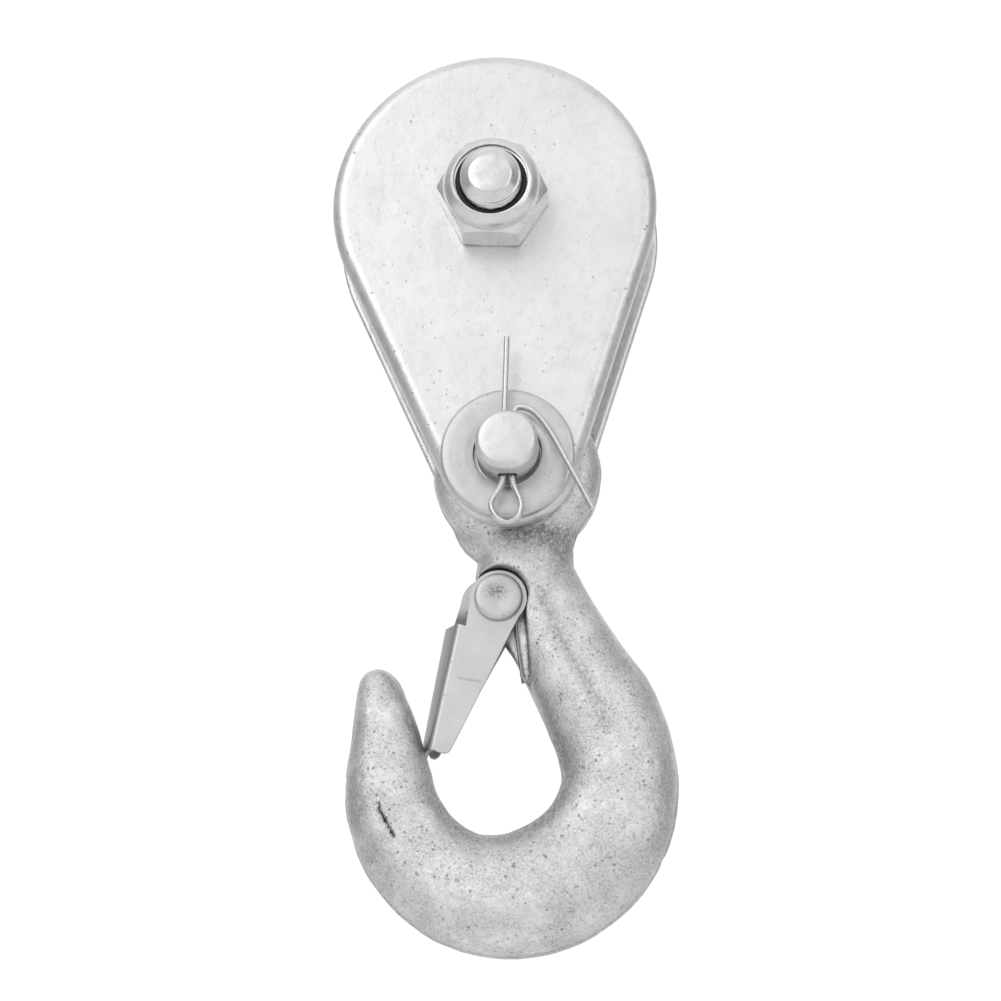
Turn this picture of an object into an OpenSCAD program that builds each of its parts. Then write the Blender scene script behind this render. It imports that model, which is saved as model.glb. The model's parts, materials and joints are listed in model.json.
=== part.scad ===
// Single-sheave hook block for a small wire-rope hoist.
//
// Frame: the origin is on the sheave axle, midway between the two cheek plates.
// +Z runs up along the plates, the axle and both pins lie along Y, the nut is at
// -Y (the front) and the mouth of the hook faces -X. All sizes are millimetres.

/* [Cheek plates] */
// Gap between the inner faces of the two cheek plates
plate_gap = 17; // [16.5:0.5:19]
// Thickness of each cheek plate
plate_t = 4.5; // [3.5:0.5:6]
// Radius of the plate's round head, over the sheave
plate_head_r = 32; // [31:0.5:36]
// Radius of the plate's narrow end, round the clevis pin
plate_foot_r = 13.3; // [12:0.1:15]
// Distance from the sheave axle down to the clevis pin
pin_drop = 52.8; // [52:0.1:60]

/* [Sheave] */
// Outside radius of the sheave's flanges
sheave_r = 28; // [26:0.5:29]
// Width of the sheave over its flanges
sheave_w = 15; // [14:0.5:15.5]
// Radius of the rope groove, for a 6 mm rope
groove_r = 3.2; // [2.7:0.1:3.4]
// Radius from the axle to the middle of the rope
rope_pitch_r = 24.6; // [24:0.1:25]

/* [Axle] */
// Radius of the axle bolt, nominal M12
axle_r = 6; // [5.8:0.1:6]
// Distance across the flats of the nut and the bolt head
axle_af = 19; // [18:0.5:20]
// Height of the self-locking nut
nut_h = 11.5; // [11:0.5:13]
// How far the bolt's end stands past the front plate
axle_out = 14.5; // [13:0.5:16]

/* [Clevis pin] */
// Radius of the clevis pin
pin_r = 6; // [5:0.1:6]
// Radius of the washer on the clevis pin
washer_r = 12.9; // [11:0.1:13.2]
// Thickness of the washer on the clevis pin
washer_t = 2.7; // [2:0.1:3]
// How far the pin's end stands past the washer
pin_out = 7.7; // [7.2:0.1:9]
// Radius of the split pin's hole through the clevis pin
cross_hole_r = 1.9; // [1.7:0.1:2]

/* [Hook] */
// Angle that the unloaded hook hangs off the plates' axis
hook_hang = 6; // [0:0.5:8]
// Outside radius of the hook's eye
eye_r = 16.3; // [15.5:0.1:17]
// Thickness of the hook's eye
eye_t = 14; // [13:0.5:15]

/* [Latch] */
// Sheet thickness of the latch
latch_t = 0.9; // [0.8:0.1:1]
// Width over the latch's two cheeks
latch_w = 8.8; // [8.6:0.1:9.2]
// Radius of the round ends of the latch's cheeks
latch_end_r = 5.5; // [5.2:0.1:5.6]
// Angle of the closed latch off the plates' axis
latch_lean = 23; // [22:0.5:23.5]
// Wire diameter of the latch spring
spring_wire = 0.7; // [0.5:0.1:0.7]

/* [Hidden] */
$fn = 64;
RUN = 0.05;                        // radial clearance of a running fit
PRESS = 0.02;                      // radial clearance of a seated fit
SLOT = 0.3;                        // side clearance where pieces pass each other

plate_face = plate_gap / 2 + plate_t;     // distance of a plate's outer face from the middle
plate_taper = asin((plate_head_r - plate_foot_r) / pin_drop);
plate_hole_r = axle_r + 0.3;

bearing_r = 16;                    // ball bearing 12 x 32 x 10
bearing_w = 10;
ball_r = 2.976;
ball_count = 7;
ball_pitch_r = 11;
race_groove_r = ball_r + 0.09;
inner_race_r = 9.1;
outer_race_r = 12.8;
shield_r = 13.3;
shield_t = 0.5;
shield_y = bearing_w / 2 - 0.9;    // inner face of a shield

axle_head_h = 7.5;
axle_hex_r = axle_af / 2 / cos(30);
nut_hex_h = 7.6;                   // height of the nut's hexagon under its collar
nut_collar_r = 8.7;
nut_mouth_r = 7.2;
nut_turn = -6;                     // turn of the nut's flats off the plates' axis
nylon_h = 2.6;
nylon_y = nut_h - 1.5 - nylon_h;

pin_head_r = 9.5;
pin_head_h = 4;
washer_face = plate_face + washer_t;
cross_hole_y = washer_face + 2.5;  // the split pin's hole, just past the washer
split_turn = 3;                    // turn of the clevis pin off the plates' axis
split_wire_r = 0.8;

hook_bore_r = pin_r + RUN;
eye_edge_r = 4.5;
eye_shift = 1.1;                   // the eye's outside stands this far off its bore
section_power = 2.4;               // squareness of the hook's rounded section

// Where the latch's rivet sits, from the hook's eye, in the hook's own frame
rivet_x = -1.1;
rivet_z = -26;
rivet_r = 2;
rivet_head_r = 4.7;
rivet_head_h = 1.2;
lug_t = 3.6;                       // thickness of the hook's lug between the latch's cheeks
lug_r = 5.2;
pocket_r = latch_end_r + 0.5;      // pockets in the hook for the latch's cheeks
pocket_wall_x = 4.3;
pocket_drop = 20;

latch_len = 32.4;                  // from the rivet to the latch's nose
latch_skew = 2.4;                  // extra width of the rear cheek on its outer side
web_head = [6, 7.4];               // top of the web's front edge: outwards and down from the rivet
web_foot = [2.8, 29];              // bottom of the web's front edge
coil_r = 3.1;                      // radius of the spring's coils, to the middle of the wire

// Stations along the hook, from the eye to the tip, in the hook's own frame:
// [x, z, half width across the bend, half thickness along the pin]
HOOK_LINE = [
    [1.7, -7, 13.6, 6.6], [2.5, -12, 12.1, 7], [3.5, -16.5, 9.3, 7.4], [4, -22, 9.8, 8],
    [7.2, -27.5, 9.5, 8.4], [10.7, -33, 9.5, 8.7], [14.7, -39.5, 10.1, 9], [18.8, -46, 10.8, 9],
    [21.9, -53, 11, 9], [23.4, -60, 11.1, 9], [22.6, -67, 11.6, 9], [19.3, -74, 12.1, 9],
    [12.8, -80, 12.3, 9], [3.8, -83.2, 11.9, 9], [-5.9, -82, 11, 8.8], [-14, -76.3, 10, 8.3],
    [-18.8, -68.5, 9.1, 7.7], [-20.6, -60.5, 8.1, 7], [-21.6, -52.6, 6.4, 6], [-23, -46, 4.8, 4.7],
    [-24.4, -42, 3.1, 3.2], [-25, -40.4, 1.2, 1.3]
];
HOOK_STEPS = 3;                    // rings between two stations
HOOK_SIDES = 24;

// ---- helpers ----------------------------------------------------------------

// Draws its children in the X-Z plane at depth y, with their height towards -Y
module facing(y) {
    translate([0, y, 0]) rotate([90, 0, 0]) children();
}

// Ring or disc lying across Y, from depth y0 to depth y1
module ring(r_out, r_in, y0, y1) {
    difference() {
        translate([0, max(y0, y1), 0]) rotate([90, 0, 0]) cylinder(r = r_out, h = abs(y1 - y0));
        if (r_in > 0)
            translate([0, max(y0, y1) + 1, 0]) rotate([90, 0, 0])
                cylinder(r = r_in, h = abs(y1 - y0) + 2);
    }
}

// Moves its children to the clevis pin
module at_pin() {
    translate([0, 0, -pin_drop]) children();
}

// Moves its children to the hook's own frame, hanging at rest
module at_hook() {
    at_pin() rotate([0, hook_hang, 0]) children();
}

// Moves its children to the latch's rivet, along the closed latch
module at_latch() {
    at_hook() translate([rivet_x, 0, rivet_z]) rotate([0, latch_lean - hook_hang, 0]) children();
}

// Point on a smooth curve through b and c, t of the way between them
function blend4(a, b, c, d, t) =
    0.5 * (2 * b + (c - a) * t + (2 * a - 5 * b + 4 * c - d) * t * t
        + (3 * b - a - 3 * c + d) * t * t * t);

// The list of stations with extra ones filled in between
function fill(line, steps) = [
    for (i = [0 : len(line) - 2], s = [0 : steps - 1])
        blend4(line[max(i - 1, 0)], line[i], line[i + 1], line[min(i + 2, len(line) - 1)], s / steps),
    line[len(line) - 1]
];

// Signed power, for a section between an ellipse and a rectangle
function bulge(v) = sign(v) * pow(abs(v), 2 / section_power);

// One ring of the hook's skin at station s, square to direction d in the X-Z plane
function hook_ring(s, d, sides) = [
    for (k = [0 : sides - 1]) let (
        across = s[2] * bulge(cos(360 * k / sides)),
        along = s[3] * bulge(sin(360 * k / sides)))
        [s[0] - d[1] * across, along, s[1] + d[0] * across]
];

// Faces of a closed tube whose rings 0 to last have the same number of points
function tube_faces(last, sides) = concat(
    [[for (k = [sides - 1 : -1 : 0]) k]],
    [
        for (i = [0 : last - 1], k = [0 : sides - 1]) let (
            a = i * sides + k,
            b = i * sides + (k + 1) % sides)
            each [[a, b, b + sides], [a, b + sides, a + sides]]
    ],
    [[for (k = [0 : sides - 1]) last * sides + k]]
);

// Solid skin over a list of stations
module skin(line, sides) {
    last = len(line) - 1;
    rings = [
        for (i = [0 : last]) let (
            run = line[min(i + 1, last)] - line[max(i - 1, 0)],
            size = norm([run[0], run[1]]))
            each hook_ring(line[i], [run[0], run[1]] / size, sides)
    ];
    polyhedron(points = rings, faces = tube_faces(last, sides));
}

// Round wire along a list of points, none of whose steps runs along Y
module wire(points, r, sides) {
    last = len(points) - 1;
    rings = [
        for (i = [0 : last]) let (
            run = points[min(i + 1, last)] - points[max(i - 1, 0)],
            step = run / norm(run),
            across = cross(step, [0, 1, 0]) / norm(cross(step, [0, 1, 0])),
            over = cross(across, step))
            for (k = [0 : sides - 1])
                points[i] + r * (across * cos(360 * k / sides) + over * sin(360 * k / sides))
    ];
    polyhedron(points = rings, faces = tube_faces(last, sides));
}

// ---- cheek plates -----------------------------------------------------------

// The plate's outline: round head, narrow foot and straight tangent sides
module plate_outline() {
    side = [cos(plate_taper), -sin(plate_taper)];
    across = [-side[0], side[1]];
    foot = [0, -pin_drop];
    sink = 0.04;                   // the sides lie this far inside the true tangents
    circle(r = plate_head_r);
    translate(foot) circle(r = plate_foot_r);
    polygon([
        (plate_head_r - sink) * side, (plate_head_r - sink) * across,
        foot + (plate_foot_r - sink) * across, foot + (plate_foot_r - sink) * side
    ]);
}

module cheek_plate() {
    facing(-plate_gap / 2) difference() {
        linear_extrude(plate_t) plate_outline();
        translate([0, 0, -1]) cylinder(r = plate_hole_r, h = plate_t + 2);
        translate([0, -pin_drop, -1]) cylinder(r = pin_r + RUN, h = plate_t + 2);
    }
}

module front_cheek_plate() {
    color("gainsboro") cheek_plate();
}

module rear_cheek_plate() {
    color("gainsboro") mirror([0, 1, 0]) cheek_plate();
}

// ---- axle, nut and spacers --------------------------------------------------

// Hexagon with its corners chamfered at both ends, standing on z = 0
module chamfered_hex(h) {
    cut = axle_hex_r - axle_af / 2;
    intersection() {
        cylinder(r = axle_hex_r, h = h, $fn = 6);
        rotate_extrude() polygon([
            [0, 0], [axle_af / 2, 0], [axle_hex_r, cut * 0.6], [axle_hex_r, h - cut * 0.6],
            [axle_af / 2, h], [0, h]
        ]);
    }
}

module axle_bolt() {
    tip_chamfer = 1.6;
    color("silver") {
        translate([0, plate_face + axle_head_h, 0]) rotate([90, 0, 0]) chamfered_hex(axle_head_h);
        facing(plate_face + 1) cylinder(r = axle_r, h = 2 * plate_face + axle_out + 1 - tip_chamfer);
        facing(-plate_face - axle_out + tip_chamfer)
            cylinder(r1 = axle_r, r2 = axle_r - tip_chamfer, h = tip_chamfer);
    }
}

// Hexagon with a domed collar crimped in over the nylon ring
module lock_nut() {
    color("silver") facing(-plate_face) rotate([0, 0, nut_turn]) difference() {
        union() {
            chamfered_hex(nut_hex_h);
            rotate_extrude() polygon([
                [0, nut_hex_h - 1], [nut_collar_r + 0.7, nut_hex_h - 1],
                [nut_collar_r + 0.5, nut_hex_h + 0.9], [nut_collar_r, nut_h - 1.2],
                [nut_collar_r - 0.5, nut_h - 0.3], [nut_collar_r - 0.9, nut_h], [0, nut_h]
            ]);
        }
        translate([0, 0, -1]) cylinder(r = axle_r + PRESS, h = nut_h + 2);
        translate([0, 0, nylon_y]) cylinder(r = nut_mouth_r, h = nut_h);
    }
}

module nut_nylon_insert() {
    color("dimgray")
        ring(nut_mouth_r - PRESS, axle_r + PRESS, -plate_face - nylon_y - PRESS,
            -plate_face - nylon_y - nylon_h);
}

module spacer() {
    ring(8.6, axle_r + PRESS, -bearing_w / 2, -plate_gap / 2);
}

module front_spacer() {
    color("darkgray") spacer();
}

module rear_spacer() {
    color("darkgray") mirror([0, 1, 0]) spacer();
}

// ---- ball bearing -----------------------------------------------------------

module ball_track() {
    rotate([90, 0, 0]) rotate_extrude() translate([ball_pitch_r, 0]) circle(r = race_groove_r);
}

module bearing_inner_race() {
    color("silver") difference() {
        ring(inner_race_r, axle_r + PRESS, -bearing_w / 2, bearing_w / 2);
        ball_track();
    }
}

module bearing_outer_race() {
    color("silver") difference() {
        ring(bearing_r, outer_race_r, -bearing_w / 2, bearing_w / 2);
        ball_track();
        for (s = [-1, 1])
            ring(shield_r, 0, s * (shield_y - PRESS), s * (bearing_w / 2 + 1));
    }
}

module bearing_balls() {
    color("whitesmoke") for (i = [0 : ball_count - 1])
        rotate([0, i * 360 / ball_count, 0]) translate([ball_pitch_r, 0, 0]) sphere(r = ball_r);
}

// Ring with a round pocket for each ball
module bearing_cage() {
    wall = 0.75;
    depth = 3.6;
    color("tan") difference() {
        ring(ball_pitch_r + wall, ball_pitch_r - wall, -depth, depth);
        for (i = [0 : ball_count - 1])
            rotate([0, i * 360 / ball_count, 0]) translate([ball_pitch_r, 0, 0])
                sphere(r = ball_r + RUN);
    }
}

module bearing_shield() {
    ring(shield_r - PRESS, inner_race_r + SLOT, -shield_y, -shield_y - shield_t);
}

module front_bearing_shield() {
    color("slategray") bearing_shield();
}

module rear_bearing_shield() {
    color("slategray") mirror([0, 1, 0]) bearing_shield();
}

// ---- sheave -----------------------------------------------------------------

// Grooved wheel with a bored hub that the bearing is pressed into
module sheave() {
    half = sheave_w / 2;
    hub_half = bearing_w / 2 + 0.8;
    web_half = half - 1.6;
    flare = (sheave_r - rope_pitch_r) * tan(22);
    color("silver") rotate([90, 0, 0]) difference() {
        rotate_extrude() polygon([
            [bearing_r + PRESS, -hub_half], [bearing_r + 2, -hub_half], [bearing_r + 3, -web_half],
            [sheave_r - 4, -web_half], [sheave_r - 3, -half], [sheave_r - 0.6, -half],
            [sheave_r, -half + 0.6], [sheave_r, -groove_r - flare], [rope_pitch_r, -groove_r],
            [rope_pitch_r, groove_r], [sheave_r, groove_r + flare], [sheave_r, half - 0.6],
            [sheave_r - 0.6, half], [sheave_r - 3, half], [sheave_r - 4, web_half],
            [bearing_r + 3, web_half], [bearing_r + 2, hub_half], [bearing_r + PRESS, hub_half]
        ]);
        rotate_extrude() translate([rope_pitch_r, 0]) circle(r = groove_r);
    }
}

// ---- clevis pin, washer and split pin ---------------------------------------

module clevis_pin() {
    chamfer = 0.7;
    end = washer_face + pin_out;
    color("gainsboro") at_pin() rotate([0, split_turn, 0]) difference() {
        union() {
            ring(pin_head_r, 0, plate_face + SLOT, plate_face + SLOT + pin_head_h);
            facing(plate_face + 1) cylinder(r = pin_r, h = plate_face + 1 + end - chamfer);
            facing(chamfer - end) cylinder(r1 = pin_r, r2 = pin_r - chamfer, h = chamfer);
        }
        translate([0, -cross_hole_y, -pin_r - 1]) cylinder(r = cross_hole_r, h = 2 * pin_r + 2);
    }
}

module clevis_washer() {
    color("lightgray") at_pin()
        ring(washer_r, pin_r + 0.4, -plate_face - SLOT / 2, -washer_face);
}

// Two half-round legs through the clevis pin, an open eye below, one leg straight up
// and the other one bent over to the right
module split_pin() {
    apart = split_wire_r + 0.02;
    top = pin_r + 1.2;
    eye = pin_r + 1.5;
    color("silver") at_pin() rotate([0, split_turn, 0]) translate([0, -cross_hole_y, 0])
        wire(concat(
            [[-apart, 0, 21.5]],
            fill([
                [-apart, 0, -pin_r], [-apart, 0, -eye], [-2.5, -0.4, -eye - 3.7],
                [-1.9, -0.8, -eye - 6.4], [0.2, -1, -eye - 7.4], [2.3, -0.8, -eye - 6],
                [2.7, -0.4, -eye - 3.7], [apart, 0, -eye], [apart, 0, -pin_r], [apart, 0, pin_r]
            ], 3),
            fill([
                [1.4, -0.1, top], [3, -0.3, top + 0.4], [5, -0.5, top - 0.6],
                [7, -0.6, top - 2.8], [10, -0.8, top - 8], [16, -1, top - 20]
            ], 3)
        ), split_wire_r, 10);
}

// ---- hook -------------------------------------------------------------------

// Thick round eye with softened edges
module hook_eye() {
    half = eye_t / 2;
    rotate([90, 0, 0]) rotate_extrude() union() {
        translate([0, -half]) square([eye_r - eye_edge_r, eye_t]);
        translate([0, eye_edge_r - half]) square([eye_r, eye_t - 2 * eye_edge_r]);
        for (s = [-1, 1])
            translate([eye_r - eye_edge_r, s * (half - eye_edge_r)]) circle(r = eye_edge_r, $fn = 48);
    }
}

// Space that one of the latch's cheeks needs beside the lug, `outer` wider on its outer side
module latch_pocket(outer) {
    deep = 12;
    translate([rivet_x, 0, rivet_z]) {
        facing(-lug_t / 2) cylinder(r = pocket_r, h = deep);
        if (outer > 0)
            rotate([0, latch_lean - hook_hang, 0]) translate([-outer, 0, 0])
                facing(-lug_t / 2) cylinder(r = pocket_r, h = deep);
    }
    facing(-lug_t / 2) linear_extrude(deep) polygon([
        [rivet_x - 12, rivet_z + 1], [rivet_x - pocket_r, rivet_z + 1], [rivet_x + pocket_r, rivet_z],
        [pocket_wall_x, rivet_z - 3], [pocket_wall_x + 1.9, rivet_z - pocket_drop],
        [rivet_x - 12, rivet_z - pocket_drop]
    ]);
}

module hook() {
    color("lightgray") at_hook() difference() {
        union() {
            translate([eye_shift, 0, 0]) hook_eye();
            difference() {
                skin(fill(HOOK_LINE, HOOK_STEPS), HOOK_SIDES);
                latch_pocket(0);
                mirror([0, 1, 0]) latch_pocket(latch_skew);
            }
            translate([rivet_x, 0, rivet_z]) ring(lug_r, 0, -lug_t / 2, lug_t / 2);
        }
        ring(hook_bore_r, 0, -eye_t, eye_t);
        translate([rivet_x, 0, rivet_z]) ring(rivet_r + PRESS, 0, -lug_t, lug_t);
    }
}

// ---- latch, its rivet and its spring ----------------------------------------

module latch_rivet() {
    seat = latch_w / 2 + 0.05;
    color("silver") at_latch() {
        ring(rivet_r, 0, -seat - 0.5, seat + 0.5);
        for (s = [-1, 1])
            ring(rivet_head_r, 0, s * seat, s * (seat + rivet_head_h));
    }
}

// One flat cheek of the latch: round end, straight inner edge, outer edge at the web
module latch_cheek(outer) {
    difference() {
        linear_extrude(latch_t) {
            circle(r = latch_end_r);
            if (outer > 0)
                translate([-outer, 0]) circle(r = latch_end_r);
            polygon([
                [latch_end_r - 0.7, -1], [1.5, -31.6], [-2.2 - outer * 0.5, -latch_len],
                [-2 - outer, -web_foot[1] - 1], [-web_foot[0] - outer - 0.1, -web_foot[1]],
                [-web_head[0] - outer - 0.1, -web_head[1]], [0.7 - latch_end_r - outer, -1], [0, 0]
            ]);
        }
        translate([0, 0, -1]) cylinder(r = rivet_r + RUN, h = latch_t + 2);
    }
}

// Two cheeks joined by a sloping web along their outer edges
module latch() {
    side = latch_w / 2;
    web_side = side - latch_t / 3;
    run = web_foot - web_head;
    web_lean = atan(-run[0] / run[1]);
    color("silver") at_latch() {
        facing(latch_t - side) latch_cheek(0);
        facing(side) latch_cheek(latch_skew);
        translate([-web_foot[0], 0, -web_foot[1]]) rotate([0, -web_lean, 0])
            linear_extrude(norm(run)) polygon([
                [0, -web_side], [latch_t, -web_side],
                [latch_t - latch_skew, web_side], [-latch_skew, web_side]
            ]);
    }
}

// Two small coils round the rivet, joined by a bar under the web, with a leg down the
// hook's shank from each coil
module latch_spring() {
    wire_r = spring_wire / 2;
    coil_y = lug_t / 2 + 0.1 + wire_r;
    reach = [coil_r + 2.4, 12];    // the bar's place below the rivet, on the web's side
    arm_lean = atan((reach[0] - coil_r) / reach[1]);
    leg_lean = 5;
    leg_len = 16.5;
    color("dimgray") at_hook() translate([rivet_x, 0, rivet_z]) {
        for (s = [-1, 1]) {
            ring(coil_r + wire_r, coil_r - wire_r, s * (coil_y - wire_r), s * (coil_y + 3 * wire_r));
            translate([coil_r, s * coil_y, 0]) rotate([0, 180 - leg_lean, 0])
                cylinder(r = wire_r * 0.98, h = leg_len, $fn = 24);
            translate([-coil_r, s * (coil_y + spring_wire), 0]) rotate([0, 180 + arm_lean, 0])
                cylinder(r = wire_r * 0.98, h = norm(reach - [coil_r, 0]), $fn = 24);
        }
        translate([-reach[0], 0, -reach[1]])
            ring(wire_r, 0, -coil_y - spring_wire, coil_y + spring_wire);
    }
}

// ---- the whole block --------------------------------------------------------

front_cheek_plate();
rear_cheek_plate();
axle_bolt();
lock_nut();
nut_nylon_insert();
front_spacer();
rear_spacer();
bearing_inner_race();
bearing_outer_race();
bearing_balls();
bearing_cage();
front_bearing_shield();
rear_bearing_shield();
sheave();
clevis_pin();
clevis_washer();
split_pin();
hook();
latch_rivet();
latch();
latch_spring();
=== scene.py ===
import bpy
import bmesh
import json
import math
from mathutils import Matrix, Vector, noise


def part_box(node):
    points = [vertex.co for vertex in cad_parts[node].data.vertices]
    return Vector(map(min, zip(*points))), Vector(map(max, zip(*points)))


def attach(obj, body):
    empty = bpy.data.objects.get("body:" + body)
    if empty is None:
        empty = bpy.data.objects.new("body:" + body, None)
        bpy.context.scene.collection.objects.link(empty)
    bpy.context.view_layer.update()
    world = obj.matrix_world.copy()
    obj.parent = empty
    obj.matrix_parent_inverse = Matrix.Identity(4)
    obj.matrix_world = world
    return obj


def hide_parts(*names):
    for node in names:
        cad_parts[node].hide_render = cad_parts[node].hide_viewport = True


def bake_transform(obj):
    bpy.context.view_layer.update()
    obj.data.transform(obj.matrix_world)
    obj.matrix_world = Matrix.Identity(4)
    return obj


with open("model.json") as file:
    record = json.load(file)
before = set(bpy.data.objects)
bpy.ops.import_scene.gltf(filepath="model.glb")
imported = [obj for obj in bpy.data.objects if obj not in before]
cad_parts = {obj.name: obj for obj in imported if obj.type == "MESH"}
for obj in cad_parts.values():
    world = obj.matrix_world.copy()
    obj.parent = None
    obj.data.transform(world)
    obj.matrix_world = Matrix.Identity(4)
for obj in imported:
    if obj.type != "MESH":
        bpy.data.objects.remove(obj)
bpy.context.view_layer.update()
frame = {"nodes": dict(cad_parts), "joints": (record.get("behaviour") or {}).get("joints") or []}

# Lengths are millimetres until a mesh is made. X is to the right, -Y is the front, +Z is up.
MM = 0.001

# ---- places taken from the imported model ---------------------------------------


def joint_place(name):
    """A joint's place in millimetres."""
    for joint in frame["joints"]:
        if joint["name"] == name:
            return Vector(joint["pos_m"]) / MM
    raise ValueError(name)


def node_box(name):
    """A CAD node's lowest and highest corners in millimetres."""
    low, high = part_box(name)
    return low / MM, high / MM


PIN = joint_place("hook_swing")
RIVET = joint_place("latch_open")
PLATE_LOW, PLATE_HIGH = node_box("front_cheek_plate")
HEAD_R = PLATE_HIGH.z
FOOT_R = PIN.z - PLATE_LOW.z
PLATE_IN = -PLATE_HIGH.y
PLATE_OUT = -PLATE_LOW.y
WASHER_OUT = -node_box("clevis_washer")[0].y
PIN_END = -node_box("clevis_pin")[0].y
PIN_BACK = node_box("clevis_pin")[1].y
AXLE_END = -node_box("axle_bolt")[0].y
AXLE_BACK = node_box("axle_bolt")[1].y
NUT_H = -node_box("lock_nut")[0].y - PLATE_OUT

HOOK_HANG = math.radians(6)
LATCH_LEAN = math.radians(23)
AXLE_R = 6.0
PIN_R = 6.0
ACROSS_FLATS = 19.0

# ---- camera ---------------------------------------------------------------------

CAMERA_TARGET = Vector((-2.5, 0, -57.6))
CAMERA_AZIMUTH = math.radians(1.9)
CAMERA_ELEVATION = math.radians(-18)
CAMERA_ROLL = math.radians(-3.3)
CAMERA_DISTANCE = 683.3
SENSOR = 36.0
FOCAL_LENGTH = 125.9


def link_object(name, data):
    """A new object in the scene for a mesh, a camera or a light."""
    made = bpy.data.objects.new(name, data)
    bpy.context.collection.objects.link(made)
    return made


def add_camera():
    """The camera, which looks up at the block from a little below."""
    data = bpy.data.cameras.new("camera")
    data.sensor_width = SENSOR
    data.lens = FOCAL_LENGTH
    data.clip_start = 0.01
    camera = link_object("camera", data)
    back = Vector((
        math.sin(CAMERA_AZIMUTH) * math.cos(CAMERA_ELEVATION),
        -math.cos(CAMERA_AZIMUTH) * math.cos(CAMERA_ELEVATION),
        math.sin(CAMERA_ELEVATION)))
    level = (-back).cross(Vector((0, 0, 1))).normalized()
    upright = level.cross(-back)
    right = level * math.cos(CAMERA_ROLL) + upright * math.sin(CAMERA_ROLL)
    up = upright * math.cos(CAMERA_ROLL) - level * math.sin(CAMERA_ROLL)
    place = Matrix((right, up, back)).transposed().to_4x4()
    place.translation = (CAMERA_TARGET + back * CAMERA_DISTANCE) * MM
    camera.matrix_world = place
    bpy.context.scene.camera = camera


add_camera()

# ---- mesh helpers -----------------------------------------------------------------


def make_piece(name, points, faces, sharp=math.radians(40)):
    """A mesh object from points in millimetres, smooth except at edges over the sharp angle."""
    data = bpy.data.meshes.new(name)
    data.from_pydata([tuple(Vector(p) * MM) for p in points], [], faces)
    piece = link_object(name, data)
    tidy_normals(piece, sharp)
    return piece


def piece_from(name, work):
    """A mesh object from a bmesh, which is freed."""
    data = bpy.data.meshes.new(name)
    work.to_mesh(data)
    work.free()
    return link_object(name, data)


def tidy_normals(piece, sharp):
    """Turns the faces outwards and makes them smooth, except at edges over the sharp angle."""
    work = bmesh.new()
    work.from_mesh(piece.data)
    bmesh.ops.recalc_face_normals(work, faces=work.faces)
    work.to_mesh(piece.data)
    work.free()
    for face in piece.data.polygons:
        face.use_smooth = True
    piece.data.set_sharp_from_angle(angle=sharp)


def apply_modifiers(piece):
    """Replaces the piece's mesh by what its modifiers make of it."""
    graph = bpy.context.evaluated_depsgraph_get()
    shaped = bpy.data.meshes.new_from_object(piece.evaluated_get(graph))
    piece.modifiers.clear()
    old = piece.data
    piece.data = shaped
    bpy.data.meshes.remove(old)


def cut(piece, cutter):
    """Cuts the cutter out of the piece, and removes the cutter."""
    step = piece.modifiers.new("cut", "BOOLEAN")
    step.operation = "DIFFERENCE"
    step.solver = "MANIFOLD"
    step.object = cutter
    apply_modifiers(piece)
    bpy.data.objects.remove(cutter)


def arc(centre, radius, start, end, steps):
    """Points of an arc in a plane, with its angles in degrees."""
    return [
        (centre[0] + radius * math.cos(math.radians(start + (end - start) * i / steps)),
         centre[1] + radius * math.sin(math.radians(start + (end - start) * i / steps)))
        for i in range(steps + 1)]


def tube_faces(rings, sides, loop=False):
    """Faces between rings of points, and end caps unless the rings form a loop."""
    faces = []
    for i in range(rings if loop else rings - 1):
        following = (i + 1) % rings
        for k in range(sides):
            beside = (k + 1) % sides
            faces.append((i * sides + k, i * sides + beside,
                          following * sides + beside, following * sides + k))
    if not loop:
        faces.append(tuple(range(sides - 1, -1, -1)))
        faces.append(tuple((rings - 1) * sides + k for k in range(sides)))
    return faces


def lathe(name, profile, centre=(0, 0), steps=128, shape=None, loop=False,
          sharp=math.radians(40)):
    """Turns a profile of (radius, depth) round an axis along Y. shape() may change a radius."""
    points = []
    for radius, depth in profile:
        for k in range(steps):
            angle = 2 * math.pi * k / steps
            r = shape(radius, depth, angle) if shape else radius
            points.append((centre[0] + r * math.cos(angle), depth,
                           centre[1] + r * math.sin(angle)))
    return make_piece(name, points, tube_faces(len(profile), steps, loop), sharp)


def smooth_curve(points, steps):
    """Extra points on a smooth curve through the given ones, of any dimension."""
    filled = []
    last = len(points) - 1
    for i in range(last):
        a, b, c, d = (points[max(i - 1, 0)], points[i], points[i + 1], points[min(i + 2, last)])
        for s in range(steps):
            t = s / steps
            filled.append(tuple(
                0.5 * (2 * q + (r - p) * t + (2 * p - 5 * q + 4 * r - u) * t * t
                       + (3 * q - p - 3 * r + u) * t ** 3)
                for p, q, r, u in zip(a, b, c, d)))
    filled.append(tuple(points[last]))
    return filled


def sweep(name, path, section, across=Vector((0, 1, 0))):
    """Sweeps a section of (sideways, forwards) points along a path.

    Sideways is square to the path and to `across`.
    """
    points = []
    for i, place in enumerate(path):
        here = Vector(place)
        run = (Vector(path[min(i + 1, len(path) - 1)]) - Vector(path[max(i - 1, 0)])).normalized()
        side = run.cross(across).normalized()
        over = side.cross(run)
        points += [here + side * u + over * v for u, v in section]
    return make_piece(name, points, tube_faces(len(path), len(section)))


def round_edges(piece, width):
    """A modifier that rounds the edges of more than 50 degrees."""
    step = piece.modifiers.new("round", "BEVEL")
    step.width = width * MM
    step.segments = 2
    step.limit_method = "ANGLE"
    step.angle_limit = math.radians(50)


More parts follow.
